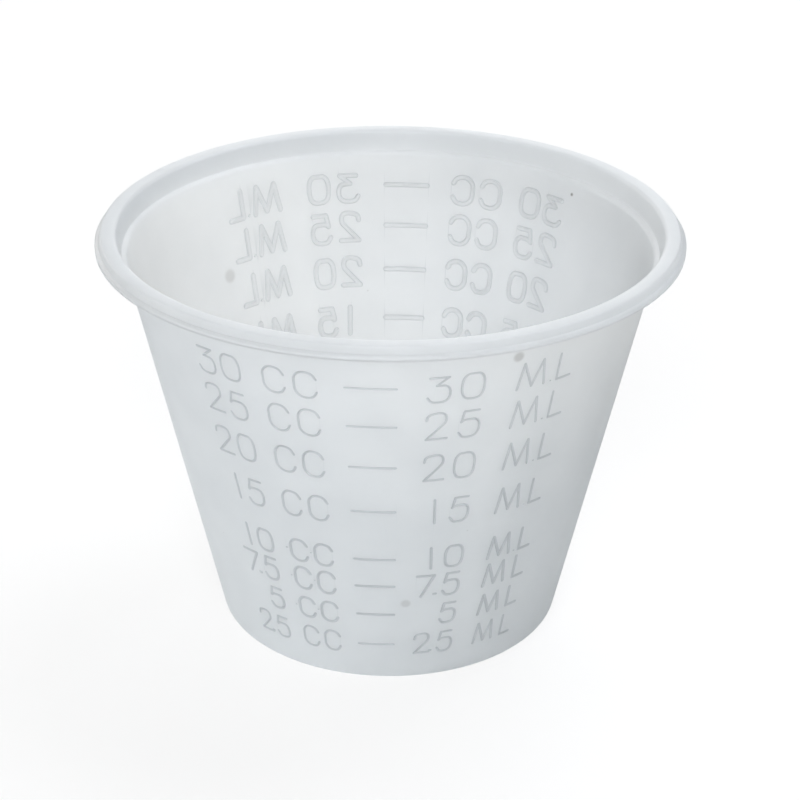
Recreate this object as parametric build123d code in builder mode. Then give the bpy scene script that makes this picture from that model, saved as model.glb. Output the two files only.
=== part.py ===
# Graduated medicine cup, 30 ml, formed in one piece from thin polypropylene sheet.
# Millimetres, +Z up, origin at the middle of the face that it stands on.
# The front scale faces -Y and the back scale faces +Y.
from build123d import *
from math import hypot, pi
import os

# Overall sizes, on the outside of the wall
cup_height = 35.1
base_radius = 14.60      # where the wall's line meets the plane it stands on
brim_radius = 22.50      # where the same line meets the plane of the brim
sheet = 0.30             # thickness of the sheet, the same everywhere

# Base: a panel raised a little inside a standing ring
ring_width = 1.66        # flat part of the ring, inside
panel_lift = 0.25
panel_ramp = 0.30        # level run of the slope from the panel to the ring
foot_round = 0.40        # between the ring and the wall, inside

# Stacking step: the wall widens here, so that nested cups don't jam
step_depth = 1.90        # from the brim down to the foot of the step
step_reach = 0.46
step_rise = 0.15

# Brim: flat top, turned-down skirt and trimmed lip
top_width = 1.28
brim_round = 0.38        # along the brim's inner edge
skirt_drop = 0.62
skirt_draft = 0.16
lip_reach = 0.29
lip_fall = 0.13
crisp_round = 0.15       # a bend tighter than this is left sharp

# Graduations, in millilitres: one bar each, pressed into the sheet from outside, front and back
volumes = (2.5, 5, 7.5, 10, 15, 20, 25, 30)
bar_relief = 0.10        # how deep a bar is outside, and how far it stands out inside
groove_width = 0.22      # outside, where the tool's sharp rib pressed
groove_angle = 9.4       # how much of the turn it spans, in degrees
ridge_width = 0.48       # inside, where the sheet drapes over that rib
ridge_angle = 10.2
ridge_root = 0.10        # how far a ridge reaches into the sheet that carries it
halvings = 40            # steps in the search for a mark's height

# The wall as two parallel cones
wall_slope = (brim_radius - base_radius) / cup_height
sheet_level = sheet * hypot(1, wall_slope)      # the sheet measured level, not square


def outside(height):
    return base_radius + wall_slope * height


def inside(height):
    return outside(height) - sheet_level


# Upper and inner face of the sheet: corners from the middle of the floor to the lip
ring_top = sheet
panel_top = sheet + panel_lift
ring_inner = inside(ring_top) - ring_width
panel_radius = ring_inner - panel_ramp
step_height = cup_height - step_depth
step_foot = (inside(step_height), step_height)
step_top = (step_foot[0] + step_reach, step_foot[1] + step_rise)
brim_start = step_top[0] + wall_slope * (cup_height - step_top[1])
brim_end = brim_start + top_width
skirt_foot = (brim_end + skirt_draft, cup_height - skirt_drop)
lip_edge = (skirt_foot[0] + lip_reach, skirt_foot[1] - lip_fall)
face_corners = [
    (0, panel_top),
    (panel_radius, panel_top),
    (ring_inner, ring_top),
    (inside(ring_top), ring_top),
    step_foot,
    step_top,
    (brim_start, cup_height),
    (brim_end, cup_height),
    skirt_foot,
    lip_edge,
]
face_rounds = [0, 0, foot_round, 0, 0, brim_round, 0, 0]     # one for each corner between the ends


def unit(start, end):
    length = hypot(end[0] - start[0], end[1] - start[1])
    return ((end[0] - start[0]) / length, (end[1] - start[1]) / length)


def far_side(corners, rounds, thickness):
    """The parallel face on the right-hand side of a row of corners, with the radius of each bend."""
    ways = [unit(a, b) for a, b in zip(corners, corners[1:])]
    squares = [(way[1], -way[0]) for way in ways]
    points = [(corners[0][0] + thickness * squares[0][0], corners[0][1] + thickness * squares[0][1])]
    radii = []
    for index in range(1, len(corners) - 1):
        before, after = squares[index - 1], squares[index]
        share = thickness / (1 + before[0] * after[0] + before[1] * after[1])
        points.append((corners[index][0] + share * (before[0] + after[0]),
                       corners[index][1] + share * (before[1] + after[1])))
        turns_left = ways[index - 1][0] * ways[index][1] > ways[index - 1][1] * ways[index][0]
        near = rounds[index - 1]
        far = near + thickness if turns_left else near - thickness
        radii.append(far if near > 0 and far > crisp_round else 0)
    points.append((corners[-1][0], corners[-1][1] - thickness / ways[-1][0]))
    return points, radii


back_corners, back_rounds = far_side(face_corners, face_rounds, sheet)


def held(height):
    """Millilitres that the cup holds when filled to a height on its wall."""
    low, high = inside(ring_top), inside(height)
    frustum = pi / 3 * (height - ring_top) * (low * low + low * high + high * high)
    panel = pi * (panel_radius + panel_ramp / 2) ** 2 * panel_lift
    return (frustum - panel) / 1000


def level_of(volume):
    """Height at which the cup holds a volume, found by halving."""
    low, high = panel_top, step_height
    for _ in range(halvings):
        middle = (low + high) / 2
        if held(middle) < volume:
            low = middle
        else:
            high = middle
    return (low + high) / 2


# A mark for every volume that the cup holds below its stacking step
levels = [level_of(volume) for volume in volumes if volume < held(step_height - ridge_width)]
for volume, level in zip(volumes, levels):
    print(f"{volume} ml at {level:.2f} mm")


def bar_section(face, level, width, depth, rise):
    """Outline of a bar cut across: a strip of one face of the wall, depth inwards and rise outwards."""
    low, high = level - width / 2, level + width / 2
    return [(face(low) - depth, low), (face(low) + rise, low),
            (face(high) + rise, high), (face(high) - depth, high)]


# The grooves outside: each a short arc in the wall's outer face, at the front and again at the back
with BuildPart() as grooves:
    with BuildSketch(Plane.XZ.rotated((0, 0, -90 - groove_angle / 2))):
        for level in levels:
            with BuildLine():
                Polyline(*bar_section(outside, level, groove_width, bar_relief, sheet), close=True)
            make_face()
    revolve(axis=Axis.Z, revolution_arc=groove_angle)
    mirror(about=Plane.XZ)

# The ridges inside: the same marks on the wall's inner face, larger all round by the drape of the sheet
with BuildPart() as ridges:
    with BuildSketch(Plane.XZ.rotated((0, 0, -90 - ridge_angle / 2))):
        for level in levels:
            with BuildLine():
                Polyline(*bar_section(inside, level, ridge_width, bar_relief, ridge_root), close=True)
            make_face()
    revolve(axis=Axis.Z, revolution_arc=ridge_angle)
    mirror(about=Plane.XZ)

# The cup: one sheet section turned about its axis, then the bars
with BuildPart() as cup:
    with BuildSketch(Plane.XZ):
        with BuildLine():
            face = FilletPolyline(*face_corners, radius=face_rounds)
            back = FilletPolyline(*back_corners, radius=back_rounds)
            Line(face @ 0, back @ 0)
            Line(face @ 1, back @ 1)
        make_face()
    revolve(axis=Axis.Z)
    add(ridges.part)
    add(grooves.part, mode=Mode.SUBTRACT)

cup.part.label = "cup"
os.makedirs("parts", exist_ok=True)
export_step(cup.part, "parts/cup.step")
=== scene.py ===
import bpy, math
import numpy as np
from mathutils import Matrix, Vector
from mathutils.geometry import delaunay_2d_cdt


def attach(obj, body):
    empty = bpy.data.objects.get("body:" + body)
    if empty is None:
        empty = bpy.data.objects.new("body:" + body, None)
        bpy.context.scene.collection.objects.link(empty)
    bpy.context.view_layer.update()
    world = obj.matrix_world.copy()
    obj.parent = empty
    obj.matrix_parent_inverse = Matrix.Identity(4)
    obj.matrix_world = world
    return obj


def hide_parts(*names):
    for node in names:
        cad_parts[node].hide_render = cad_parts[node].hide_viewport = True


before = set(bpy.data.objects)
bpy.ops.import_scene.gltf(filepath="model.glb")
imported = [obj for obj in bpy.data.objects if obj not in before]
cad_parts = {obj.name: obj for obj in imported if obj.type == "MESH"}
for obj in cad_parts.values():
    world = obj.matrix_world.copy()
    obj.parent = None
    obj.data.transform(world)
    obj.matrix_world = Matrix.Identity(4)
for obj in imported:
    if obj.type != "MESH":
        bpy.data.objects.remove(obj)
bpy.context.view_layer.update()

mm = 0.001
weldWithin = 0.0002           # millimetres
samePoint = 1e-4              # as a share of a letter's box
cutWithin = 1e-5              # millimetres, for the lines along which the wall is cut
gentleTurn = 0.5              # cosine of the sharpest turn that a stroke's outline takes as one corner

# The cup's section, in millimetres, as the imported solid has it, with the small bends added
cupShape = {
    "height": 35.1,
    "baseRadius": 14.60,          # where the wall's line meets the table
    "brimRadius": 22.50,          # where it meets the plane of the brim
    "sheet": 0.30,
    "ringWidth": 1.66, "panelLift": 0.25, "panelRamp": 0.30,
    "stepDepth": 1.90, "stepReach": 0.46, "stepRise": 0.15,
    "topWidth": 1.28, "skirtDrop": 0.62, "skirtDraft": 0.16,
    "lipReach": 0.29, "lipFall": 0.13,
    "bends": [0.45, 0.15, 0.40, 0.42, 0.12, 0.38, 0.20, 0.08],   # radius of each, axis to lip
    "leastBend": 0.04,
    "facets": 192,                # in a full turn
    "wallFrom": 1.6, "wallTo": 32.3,     # the wall between these heights carries the lettering
}

wallSlope = (cupShape["brimRadius"] - cupShape["baseRadius"]) / cupShape["height"]
wallStretch = math.hypot(1, wallSlope)
facets = cupShape["facets"]


def wallRadius(z, inner):
    r = cupShape["baseRadius"] + wallSlope * z
    return r - cupShape["sheet"] * wallStretch if inner else r


def sectionCorners(s):
    ringTop = s["sheet"]
    ringInner = wallRadius(ringTop, True) - s["ringWidth"]
    stepZ = s["height"] - s["stepDepth"]
    stepFoot = (wallRadius(stepZ, True), stepZ)
    stepTop = (stepFoot[0] + s["stepReach"], stepZ + s["stepRise"])
    brimStart = stepTop[0] + wallSlope * (s["height"] - stepTop[1])
    brimEnd = brimStart + s["topWidth"]
    skirtFoot = (brimEnd + s["skirtDraft"], s["height"] - s["skirtDrop"])
    return [(0, ringTop + s["panelLift"]), (ringInner - s["panelRamp"], ringTop + s["panelLift"]),
            (ringInner, ringTop), (wallRadius(ringTop, True), ringTop), stepFoot, stepTop,
            (brimStart, s["height"]), (brimEnd, s["height"]), skirtFoot,
            (skirtFoot[0] + s["lipReach"], skirtFoot[1] - s["lipFall"])]


def offsetCorners(corners, bends, thickness, leastBend):
    # the parallel face on the right-hand side, and the radius of each of its bends
    ways = [Vector(b) - Vector(a) for a, b in zip(corners, corners[1:])]
    ways = [w.normalized() for w in ways]
    squares = [Vector((w.y, -w.x)) for w in ways]
    points = [Vector(corners[0]) + squares[0] * thickness]
    radii = []
    for i in range(1, len(corners) - 1):
        a, b = squares[i - 1], squares[i]
        points.append(Vector(corners[i]) + (a + b) * (thickness / (1 + a.dot(b))))
        turnsLeft = ways[i - 1].x * ways[i].y > ways[i - 1].y * ways[i].x
        radii.append(bends[i - 1] + thickness if turnsLeft else max(bends[i - 1] - thickness, leastBend))
    points.append(Vector(corners[-1]) + Vector((0, -thickness / ways[-1].x)))
    return [tuple(p) for p in points], radii


def bentLine(corners, radii, turnPerChord=math.radians(13)):
    # a row of corners with each one rounded
    out = [Vector(corners[0])]
    for i, radius in enumerate(radii, 1):
        p = Vector(corners[i])
        a = (Vector(corners[i - 1]) - p).normalized()
        b = (Vector(corners[i + 1]) - p).normalized()
        turn = math.pi - a.angle(b)
        reach = radius * math.tan(turn / 2)
        middle = p + (a + b).normalized() * (radius / math.cos(turn / 2))
        start = p + a * reach - middle
        side = 1 if start.x * (p + b * reach - middle).y > start.y * (p + b * reach - middle).x else -1
        steps = max(2, round(turn / turnPerChord))
        for k in range(steps + 1):
            angle = side * turn * k / steps
            out.append(middle + Vector((start.x * math.cos(angle) - start.y * math.sin(angle),
                                        start.x * math.sin(angle) + start.y * math.cos(angle))))
    out.append(Vector(corners[-1]))
    return [(p.x, p.y) for p in out]


# The graduations, pressed in from outside: a narrow groove there, and a wider ridge inside
lettering = {
    # label, height of its bar, middle of its letters, height of its letters, weight of its strokes
    "rows": [("30", 30.36, 30.22, 2.36, 0.90), ("25", 26.70, 26.63, 2.44, 0.90), ("20", 22.70, 22.55, 2.44, 0.95),
             ("15", 18.24, 18.10, 2.40, 1.00), ("10", 13.22, 13.20, 2.18, 1.12), ("7.5", 10.34, 10.25, 2.24, 1.15),
             ("5", 7.26, 7.07, 2.06, 1.15), ("2.5", 3.92, 3.88, 2.10, 0.95)],
    "letterWeights": {"M": 1.15, "L": 1.15},    # bolder, and still clear of the next row's band
    "halfBar": 5.25,              # angles in degrees, from the middle of the scale
    "ccPlaces": [(-23.1, -18.2), (-16.1, -11.2)],
    "numberPlaces": [(-40.3, -35.4), (-33.5, -28.7)],
    "numberPlacesRight": [(11.5, 16.3), (18.7, 23.5)],
    "mPlace": (31.2, 37.9), "lPlace": (41.2, 45.1),
    "pointPlaces": (-35.35, 16.7), "pointRise": 0.19, "pointHalf": 0.25,
    # pin marks of the tool: angle, height as a share of the letters, the rows that have them
    "pins": [(39.7, 0.02, ("30", "25", "20", "15", "10")), (-24.2, 0.5, ("10", "7.5", "5")),
             (-17.1, 0.5, ("10", "7.5", "5"))],
    "pinWeight": 0.55, "pinHalf": 0.08,
    "grooveHalf": 0.105, "grooveDepth": 0.09,
    "ridgeHalf": 0.24, "ridgeTopHalf": 0.15, "ridgeRise": 0.10,
    "guard": 0.03,                # flat strip that keeps the wall's shading clean
    "levelWithin": 0.03,          # a facet that rises more than this is shaded on its own
    "backStretch": 1.05,          # the back scale is set a little wider
    "roundings": 2,
}

# Strokes of each letter in a unit box; a corner that stays sharp is given twice
letterStrokes = {
    "0": [[(0.5, 1), (0.2, 1), (0, 0.76), (0, 0.24), (0.2, 0), (0.8, 0), (1, 0.24), (1, 0.76), (0.8, 1), (0.5, 1)]],
    "1": [[(0.68, 1), (0.74, 0)]],
    "2": [[(0.04, 0.75), (0.1, 0.98), (0.85, 1.06), (0.97, 0.72), (0.72, 0.5), (0.04, 0), (0.04, 0), (1, 0.02)]],
    "3": [[(0.1, 0.94), (0.92, 0.96), (0.92, 0.96), (0.4, 0.64), (0.4, 0.64), (1, 0.62), (0.99, 0),
           (0.2, -0.05), (0.02, 0.16)]],
    "5": [[(0.92, 1), (0.24, 1), (0.24, 1), (0.12, 0.58), (0.12, 0.58), (0.3, 0.68), (0.99, 0.66), (0.98, 0.02),
           (0.25, -0.06), (0.03, 0.18)]],
    "7": [[(0, 0.99), (1, 0.99), (1, 0.99), (0.26, 0)]],
    "C": [[(1, 0.75), (0.82, 0.98), (0.32, 1.02), (0.03, 0.8), (0.02, 0.5), (0.03, 0.2), (0.32, -0.02),
           (0.82, 0.0), (1, 0.24)]],
    "M": [[(0, 0), (0.16, 1), (0.16, 1), (0.52, 0.04), (0.52, 0.04), (0.85, 1), (0.85, 1), (1, 0)]],
    "L": [[(0.03, 1), (0.03, 0), (0.03, 0), (1, 0)]],
}


def rounded(points, times):
    # corner cutting; it keeps the ends, and the corners that are given twice
    pts = [Vector(p) for p in points]
    for _ in range(times):
        cut = [pts[0]]
        for a, b in zip(pts, pts[1:]):
            cut += [a.lerp(b, 0.25), a.lerp(b, 0.75)]
        pts = cut + [pts[-1]]
    return apart(pts)


def apart(points):
    # the row without points that fall together
    kept = [points[0]]
    for p in points[1:]:
        if (p - kept[-1]).length > samePoint:
            kept.append(p)
    return kept


def rowStrokes(label, barZ, middle, letterHeight, weight, t, stretch=1):
    # every stroke of a row, as (angle in radians, height) points, and how bold it is
    low = middle - letterHeight / 2
    strokes = [([(math.radians(-t["halfBar"]), barZ), (math.radians(t["halfBar"]), barZ)], weight)]

    def dot(angle, z, half, bold):
        strokes.append(([(math.radians(angle + side * half) * stretch, z) for side in (-1, 1)], bold))

    def letter(shape, place):
        for stroke in letterStrokes[shape]:
            straight = len(stroke) <= 4 or shape in "ML"
            pts = apart([Vector(p) for p in stroke]) if straight else rounded(stroke, t["roundings"])
            strokes.append(([(math.radians(place[0] + (place[1] - place[0]) * p.x) * stretch,
                              low + letterHeight * p.y) for p in pts], weight * t["letterWeights"].get(shape, 1)))

    for places, point in zip((t["numberPlaces"], t["numberPlacesRight"]), t["pointPlaces"]):
        digits = label.replace(".", "")
        for digit, place in zip(digits[::-1], places[::-1]):
            letter(digit, place)
        if "." in label:
            dot(point, low + t["pointRise"], t["pointHalf"], weight)
    for place in t["ccPlaces"]:
        letter("C", place)
    letter("M", t["mPlace"])
    letter("L", t["lPlace"])
    for angle, share, rowsWithPins in t["pins"]:
        if label in rowsWithPins:
            dot(angle, low + share * letterHeight, t["pinHalf"], t["pinWeight"])
    return strokes


def strokeOutline(points, reach, capSteps=4):
    # the closed line at an even distance round a stroke
    pts = [Vector(p) for p in points]
    ring = []
    for line in (pts, pts[::-1]):
        ways = [(b - a).normalized() for a, b in zip(line, line[1:])]
        sides = [Vector((w.y, -w.x)) for w in ways]
        ring.append(line[0] + sides[0] * reach)
        for i in range(1, len(line) - 1):
            a, b, w = sides[i - 1], sides[i], ways[i - 1]
            if a.dot(b) > gentleTurn:
                ring.append(line[i] + (a + b) * (reach / (1 + a.dot(b))))
            elif w.dot(b) > 0:
                # round the outside of a sharp corner
                turns = [a.angle(b) * k / capSteps for k in range(capSteps + 1)]
                ring += [line[i] + (a * math.cos(turn) + w * math.sin(turn)) * reach for turn in turns]
            else:
                ring += [line[i] + a * reach, line[i] + b * reach]
        ring.append(line[-1] + sides[-1] * reach)
        for k in range(1, capSteps):
            turn = math.pi * k / capSteps
            s, w = sides[-1], ways[-1]
            ring.append(line[-1] + (s * math.cos(turn) + w * math.sin(turn)) * reach)
    return ring


def distances(points, segments, weights):
    # from each point to the nearest of the segments, a bold one counting as nearer
    p = np.asarray(points)[:, None, :]
    a, b = segments[None, :, 0], segments[None, :, 1]
    ab = b - a
    t = np.clip(((p - a) * ab).sum(-1) / (ab * ab).sum(-1), 0, 1)
    return (np.sqrt(((p - a - ab * t[..., None]) ** 2).sum(-1)) / weights).min(1)


def reliefHeight(d, inner, t):
    # how far the wall stands towards the axis, in millimetres, at a distance from a stroke
    if not inner:
        return t["grooveDepth"] * np.clip(1 - d / t["grooveHalf"], 0, 1)
    side = np.clip((t["ridgeHalf"] - d) / (t["ridgeHalf"] - t["ridgeTopHalf"]), 0, 1)
    crown = 1 + 0.2 * np.clip(1 - (d / t["ridgeTopHalf"]) ** 2, 0, 1)
    return t["ridgeRise"] * side * crown


def strokeShade(d, inner, t):
    # painted shade along a stroke, from 0 to 1, at a distance from it: the whole groove outside, the flanks of the
    # ridge inside
    if not inner:
        return np.interp(d, [0, t["grooveHalf"], t["grooveHalf"] + t["guard"]], [1, 0.85, 0])
    return np.interp(d, [0, t["ridgeTopHalf"], t["ridgeHalf"], t["ridgeHalf"] + t["guard"]], [0, 0.25, 0.7, 0])


class sheetMesh:
    # collects points and faces, and welds points that fall together
    def __init__(self):
        self.points, self.index, self.paintedStrokeShade = [], {}, []
        self.faces, self.smooth, self.normals = [], [], []

    def point(self, angle, r, z):
        # angle from the front scale, to the right as seen from in front
        p = (r * math.sin(angle) * mm, -r * math.cos(angle) * mm, z * mm)
        key = tuple(round(c / (weldWithin * mm)) for c in p)
        if key not in self.index:
            self.index[key] = len(self.points)
            self.points.append(p)
            self.paintedStrokeShade.append(0.0)
        return self.index[key]

    def face(self, corners, smooth=True, normals=None):
        distinct = [c for i, c in enumerate(corners) if c != corners[i - 1]]
        if len(distinct) >= 3:
            self.faces.append(distinct)
            self.smooth.append(smooth)
            self.normals.append(normals if normals and len(distinct) == len(corners) else [(0, 0, 0)] * len(distinct))

    def lathe(self, line, flip):
        for (r0, z0), (r1, z1) in zip(line, line[1:]):
            for k in range(facets):
                a, b = 2 * math.pi * k / facets, 2 * math.pi * (k + 1) / facets
                quad = [self.point(a, r0, z0), self.point(b, r0, z0), self.point(b, r1, z1), self.point(a, r1, z1)]
                self.face(quad[::-1] if flip else quad)


def wallBand(sheet, zLow, zHigh, row, inner, around, stretch):
    # one row of lettering over half a turn: the band is cut along every stroke
    t = lettering
    zMid = row[1]
    rRow = wallRadius(zMid, False)
    half = facets // 2
    turn = 2 * math.pi / facets

    def flat(angle, z):
        return Vector((angle * rRow, (z - zMid) * wallStretch))

    points, edges = [], []
    for i in range(half + 1):
        angle = -math.pi / 2 + i * turn
        points += [flat(angle, zLow), flat(angle, zHigh)]
        edges.append((2 * i, 2 * i + 1))
        if i:
            edges += [(2 * i - 2, 2 * i), (2 * i - 1, 2 * i + 1)]
    borders = len(points)
    segments, weights = [], []
    reaches = ([t["ridgeTopHalf"], t["ridgeHalf"], t["ridgeHalf"] + t["guard"]] if inner
               else [t["grooveHalf"], t["grooveHalf"] + t["guard"]])
    for stroke, weight in rowStrokes(*row, t, stretch):
        line = [flat(*p) for p in stroke]
        segments += list(zip(line, line[1:]))
        weights += [weight] * (len(line) - 1)
        for ring, closed in [(line, False)] + [(strokeOutline(line, reach * weight), True) for reach in reaches]:
            first = len(points)
            points += ring
            edges += [(first + i, first + i + 1) for i in range(len(ring) - 1)]
            if closed:
                edges.append((first + len(ring) - 1, first))
    outPoints, _, outFaces, origins, _, _ = delaunay_2d_cdt(points, edges, [], 0, cutWithin, True)
    segments = np.array([[tuple(a), tuple(b)] for a, b in segments])
    xy = np.array([tuple(p) for p in outPoints])
    away = distances(xy, segments, np.array(weights))
    rise = reliefHeight(away, inner, t)
    shade = strokeShade(away, inner, t)
    angles = xy[:, 0] / rRow
    heights = zMid + xy[:, 1] / wallStretch
    for i, origin in enumerate(origins):
        border = [o for o in origin if o < borders]
        if border:
            angles[i] = -math.pi / 2 + (border[0] // 2) * turn
            heights[i] = zHigh if border[0] % 2 else zLow
            rise[i] = shade[i] = 0
    c, s = 1 / wallStretch, wallSlope / wallStretch
    ids, normals = [], []
    # each point keeps the painted shade of the nearest stroke
    for angle, z, h, paintedShade in zip(angles + around, heights, rise, shade):
        ids.append(sheet.point(angle, wallRadius(z, inner) - h * c, z + h * s))
        sheet.paintedStrokeShade[ids[-1]] = paintedShade
        n = (c * math.sin(angle), -c * math.cos(angle), -s)
        normals.append((-n[0], -n[1], -n[2]) if inner else n)
    for f in outFaces:
        level = rise[list(f)].max() - rise[list(f)].min() < t["levelWithin"]
        corners = f[::-1] if inner else f
        sheet.face([ids[i] for i in corners], level, [normals[i] for i in corners] if level else None)


def pressedSheet():
    s = cupShape
    corners = sectionCorners(s)
    underCorners, underBends = offsetCorners(corners, s["bends"], s["sheet"], s["leastBend"])
    upper = bentLine(corners, s["bends"])
    under = bentLine(underCorners, underBends)
    sheet = sheetMesh()
    rows = lettering["rows"][::-1]
    tops = []
    for lower, upperRow in zip(rows, rows[1:]):
        tops.append((lower[2] + lower[3] / 2 + upperRow[2] - upperRow[3] / 2) / 2)
    cuts = [s["wallFrom"]] + tops + [s["wallTo"]]
    for line, inner in ((upper, True), (under, False)):
        foot = [p for p in line if p[1] < s["wallFrom"] and p[0] < wallRadius(s["wallTo"], False)]
        head = [p for p in line if p[1] > s["wallTo"]]
        sheet.lathe(foot + [(wallRadius(s["wallFrom"], inner), s["wallFrom"])], inner)
        sheet.lathe([(wallRadius(s["wallTo"], inner), s["wallTo"])] + head, inner)
        for zLow, zHigh, row in zip(cuts, cuts[1:], rows):
            wallBand(sheet, zLow, zHigh, row, inner, 0, 1)
            wallBand(sheet, zLow, zHigh, row, inner, math.pi, lettering["backStretch"])
    sheet.lathe([upper[-1], under[-1]], True)
    mesh = bpy.data.meshes.new("cup_sheet")
    mesh.from_pydata(sheet.points, [], sheet.faces)
    mesh.polygons.foreach_set("use_smooth", [bool(s) for s in sheet.smooth])
    mesh.update()
    mesh.normals_split_custom_set([n for face in sheet.normals for n in face])
    mesh.attributes.new("paintedStrokeShade", "FLOAT", "POINT").data.foreach_set("value", sheet.paintedStrokeShade)
    piece = bpy.data.objects.new("cup_sheet", mesh)
    bpy.context.scene.collection.objects.link(piece)
    return piece


def linear(hexColour):
    # sRGB hex to the linear colour that Blender wants
    parts = [int(hexColour[i:i + 2], 16) / 255 for i in (1, 3, 5)]
    return [c / 12.92 if c <= 0.04045 else ((c + 0.055) / 1.055) ** 2.4 for c in parts] + [1]


def addNode(tree, kind, settings, inputs):
    # inputs: socket name or number to a value or to another node's output
    node = tree.nodes.new(kind)
    for name, value in settings.items():
        setattr(node, name, value)
    for name, value in inputs.items():
        if isinstance(value, bpy.types.NodeSocket):
            tree.links.new(value, node.inputs[name])
        else:
            node.inputs[name].default_value = value
    return node


def newMaterial(name):
    material = bpy.data.materials.new(name)
    material.use_nodes = True
    material.node_tree.nodes.clear()
    return material, material.node_tree


# Polypropylene, formed from natural sheet: milky, with a soft gloss. Most light goes through it, but scattered,
# so nothing shows through. The brim keeps the sheet's whole thickness and passes less. Along the strokes the sheet's
# colours are darkened to grey: painted shade for the light that the grooves and the ridges' flanks throw aside.
polypropylene = {
    "reflected": "#E2E4E6", "passed": "#F6F7F7",
    "cloudy": "#D8DBDD",          # the faint clouds left by uneven stretching
    "cloudSize": 5.0, "cloudShare": 0.35,       # millimetres
    # painted shade: the grey mixed into both of the sheet's colours along the strokes, as far as the mesh's stroke
    # shade says
    "strokes": "#8B9298", "paintedShadeShare": 0.35,
    "scattered": (0.78, 0.55),    # share of the light that a face passes scattered: wall, brim
    "brimFrom": 33.0, "brimTo": 33.5,
    "roughness": 0.30, "ior": 1.49,
    "peel": 0.5, "peelHeight": 0.004,           # faint orange peel, millimetres
    "grain": 0.16, "grainHeight": 0.0016,       # the matte side of the sheet, drawn about five times too coarse
    "dirt": "#8B8781",
    # specks in the sheet: degrees from the front scale, height, size in millimetres, strength
    "specks": [(30.4, 32.25, 0.60, 0.30), (8.6, 8.5, 0.55, 0.20), (24.0, 15.7, 0.18, 0.5),
               (-49.5, 11.5, 0.18, 0.4), (135.6, 32.1, 0.26, 0.9), (230.8, 24.4, 0.8, 0.2),
               (190.3, 20.7, 0.2, 0.4)],
}


def formedPolypropyleneSheet():
    p = polypropylene
    material, tree = newMaterial("formedPolypropyleneSheet")
    place = addNode(tree, "ShaderNodeTexCoord", {}, {}).outputs["Object"]
    height = addNode(tree, "ShaderNodeSeparateXYZ", {}, {0: place}).outputs["Z"]
    # the painted stroke shade that the mesh keeps on its points
    paintedStrokeShade = addNode(tree, "ShaderNodeAttribute", {"attribute_name": "paintedStrokeShade"}, {}).outputs["Fac"]

    clouds = addNode(tree, "ShaderNodeTexNoise", {}, {"Vector": place, "Scale": 1000 / p["cloudSize"], "Detail": 3})
    dirt = 0.0
    for angle, z, size, strength in p["specks"]:
        a, r = math.radians(angle), (wallRadius(z, False) + wallRadius(z, True)) / 2
        away = addNode(tree, "ShaderNodeVectorMath", {"operation": "DISTANCE"}, {
            0: place, 1: (r * math.sin(a) * mm, -r * math.cos(a) * mm, z * mm)}).outputs["Value"]
        spot = addNode(tree, "ShaderNodeMapRange", {"interpolation_type": "SMOOTHSTEP"}, {
            "Value": away, "From Min": size * mm / 2, "From Max": max(size / 2 + 0.1, size) * mm,
            "To Min": strength, "To Max": 0.0}).outputs[0]
        dirt = addNode(tree, "ShaderNodeMath", {"operation": "ADD"}, {0: dirt, 1: spot}).outputs[0]
    colours = [linear(p["reflected"]), linear(p["passed"])]
    layers = [(clouds.outputs["Fac"], p["cloudShare"], p["cloudy"]), (dirt, 1.0, p["dirt"]),
              (paintedStrokeShade, p["paintedShadeShare"], p["strokes"])]
    for amount, most, colour in layers:
        share = addNode(tree, "ShaderNodeMath", {"operation": "MULTIPLY"}, {0: amount, 1: most}).outputs[0]
        colours = [addNode(tree, "ShaderNodeMix", {"data_type": "RGBA"}, {0: share, 6: c, 7: linear(colour)}).outputs[2]
                   for c in colours]

    peel = addNode(tree, "ShaderNodeTexNoise", {}, {"Vector": place, "Scale": 1000 / p["peel"], "Detail": 2})
    grain = addNode(tree, "ShaderNodeTexNoise", {}, {"Vector": place, "Scale": 1000 / p["grain"], "Detail": 1})
    bump = addNode(tree, "ShaderNodeBump", {}, {"Height": peel.outputs["Fac"], "Distance": p["peelHeight"] * mm})
    bump = addNode(tree, "ShaderNodeBump", {}, {"Height": grain.outputs["Fac"], "Distance": p["grainHeight"] * mm,
                                                "Normal": bump.outputs[0]}).outputs[0]
    surface = addNode(tree, "ShaderNodeBsdfPrincipled", {}, {
        "Base Color": colours[0], "Roughness": p["roughness"], "IOR": p["ior"],
        "Normal": bump})
    through = addNode(tree, "ShaderNodeBsdfTranslucent", {}, {"Color": colours[1], "Normal": bump})
    scattered = addNode(tree, "ShaderNodeMapRange", {}, {
        "Value": height, "From Min": p["brimFrom"] * mm, "From Max": p["brimTo"] * mm,
        "To Min": p["scattered"][0], "To Max": p["scattered"][1]}).outputs[0]
    mix = addNode(tree, "ShaderNodeMixShader", {}, {0: scattered, 1: surface.outputs[0], 2: through.outputs[0]})
    addNode(tree, "ShaderNodeOutputMaterial", {}, {"Surface": mix.outputs[0]})
    return material


cup = pressedSheet()
cup.data.materials.append(formedPolypropyleneSheet())
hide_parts("cup")
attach(cup, "root")
print("cup sheet:", len(cup.data.vertices), "points,", sum(len(p.vertices) - 2 for p in cup.data.polygons), "triangles")

# Studio: a white floor that runs to the horizon, and soft light from the front, the left and behind
studio = {
    "floorSize": 3.0, "floor": "#F2F2F2", "floorShine": 0.75,
    "sky": "#FFFFFF", "skyLight": 0.05,
    "lamps": [
        # name, direction in degrees (round from the front to the right, and up), watts, colour
        ("frontSoftbox", (0, 35), 4.3, "#FDFEFF"),
        ("leftSoftbox", (270, 12), 0.9, "#FFF9F2"),
        ("leftBackSoftbox", (225, 12), 1.3, "#FFFBF6"),
        ("backSoftbox", (180, 12), 1.4, "#FFFFFF"),
        ("rightBackSoftbox", (135, 60), 2.9, "#F6FAFF"),
        ("backTopSoftbox", (180, 60), 0.6, "#FFFFFF"),
    ],
    "lampAway": 0.7, "lampSize": 0.45, "lampAim": 0.018,      # metres
}


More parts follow.
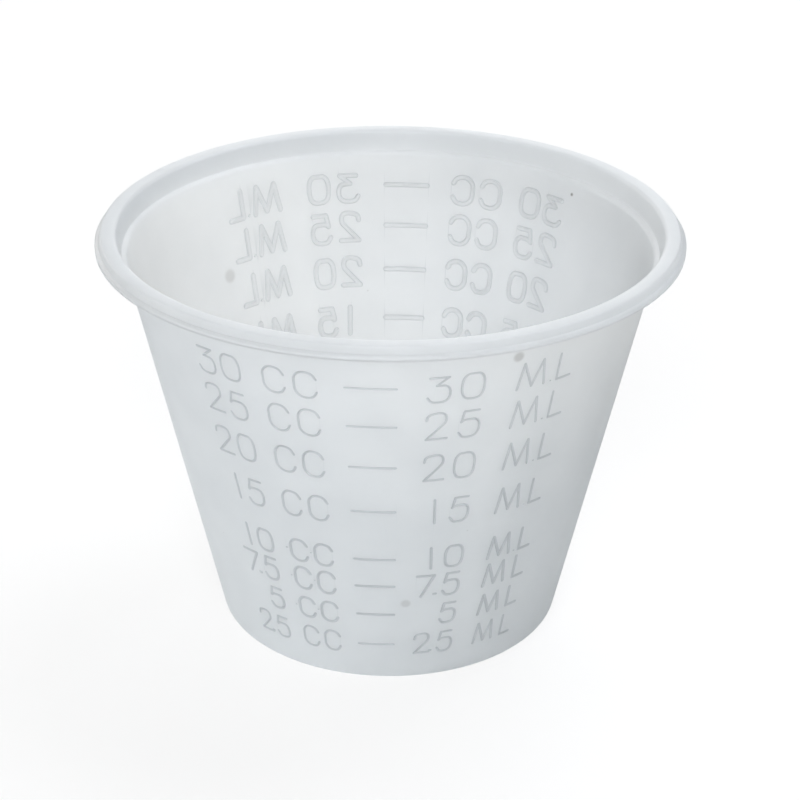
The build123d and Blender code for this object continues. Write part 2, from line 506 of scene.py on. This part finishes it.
def buildStudio():
    t = studio
    half = t["floorSize"] / 2
    mesh = bpy.data.meshes.new("floor")
    mesh.from_pydata([(-half, -half, 0), (half, -half, 0), (half, half, 0), (-half, half, 0)], [], [(0, 1, 2, 3)])
    floor = bpy.data.objects.new("floor", mesh)
    bpy.context.scene.collection.objects.link(floor)
    material, tree = newMaterial("paintedStudioFloor")
    seen = addNode(tree, "ShaderNodeLightPath", {}, {}).outputs["Is Camera Ray"]
    share = addNode(tree, "ShaderNodeMath", {"operation": "MULTIPLY"}, {0: seen, 1: t["floorShine"]})
    paint = addNode(tree, "ShaderNodeBsdfDiffuse", {}, {"Color": linear(t["floor"])})
    white = addNode(tree, "ShaderNodeEmission", {}, {"Color": linear(t["sky"]), "Strength": 1.0})
    mix = addNode(tree, "ShaderNodeMixShader", {}, {0: share.outputs[0], 1: paint.outputs[0], 2: white.outputs[0]})
    addNode(tree, "ShaderNodeOutputMaterial", {}, {"Surface": mix.outputs[0]})
    mesh.materials.append(material)

    world = bpy.data.worlds.new("studioWhite")
    bpy.context.scene.world = world
    world.use_nodes = True
    tree = world.node_tree
    tree.nodes.clear()
    seen = addNode(tree, "ShaderNodeLightPath", {}, {}).outputs["Is Camera Ray"]
    strength = addNode(tree, "ShaderNodeMapRange", {}, {"Value": seen, "To Min": t["skyLight"], "To Max": 1.0})
    sky = addNode(tree, "ShaderNodeBackground", {}, {"Color": linear(t["sky"]), "Strength": strength.outputs[0]})
    addNode(tree, "ShaderNodeOutputWorld", {}, {"Surface": sky.outputs[0]})

    for name, (turn, up), watts, colour in t["lamps"]:
        lamp = bpy.data.lights.new(name, "AREA")
        lamp.shape = "DISK"
        lamp.size = t["lampSize"]
        lamp.energy = watts
        lamp.color = linear(colour)[:3]
        a, e = math.radians(turn), math.radians(up)
        way = Vector((math.sin(a) * math.cos(e), -math.cos(a) * math.cos(e), math.sin(e)))
        ob = bpy.data.objects.new(name, lamp)
        ob.location = Vector((0, 0, t["lampAim"])) + way * t["lampAway"]
        ob.rotation_euler = way.to_track_quat("Z", "Y").to_euler()
        bpy.context.scene.collection.objects.link(ob)


buildStudio()

# Camera, from the photograph's rim and base ellipses and the wall's outline
photoCamera = {
    "distance": 195.9, "elevation": 26.51, "azimuth": 3.93,      # millimetres and degrees
    "aimHeight": 18.79, "pan": 0.281, "roll": -0.367,
    "focal": 2282 / 800 * 36,
}


def placeCamera():
    c = photoCamera
    e, a, pan, roll = (math.radians(c[k]) for k in ("elevation", "azimuth", "pan", "roll"))
    turn = Matrix.Rotation(a, 3, "Z")
    place = turn @ Vector((0, -c["distance"] * math.cos(e), c["aimHeight"] + c["distance"] * math.sin(e)))
    ahead = turn @ Vector((math.sin(pan) * math.cos(e), math.cos(pan) * math.cos(e), -math.sin(e)))
    right = turn @ Vector((math.cos(pan), -math.sin(pan), 0))
    down = ahead.cross(right)
    right, down = right * math.cos(roll) + down * math.sin(roll), down * math.cos(roll) - right * math.sin(roll)
    camera = bpy.data.objects.new("photoCamera", bpy.data.cameras.new("photoCamera"))
    camera.data.lens = c["focal"]
    camera.data.clip_start = 0.01
    camera.matrix_world = Matrix.Translation(place * mm) @ Matrix((right, -down, -ahead)).transposed().to_4x4()
    bpy.context.scene.collection.objects.link(camera)
    bpy.context.scene.camera = camera


placeCamera()
bpy.context.scene.view_settings.view_transform = "Standard"
print("studio and camera placed")
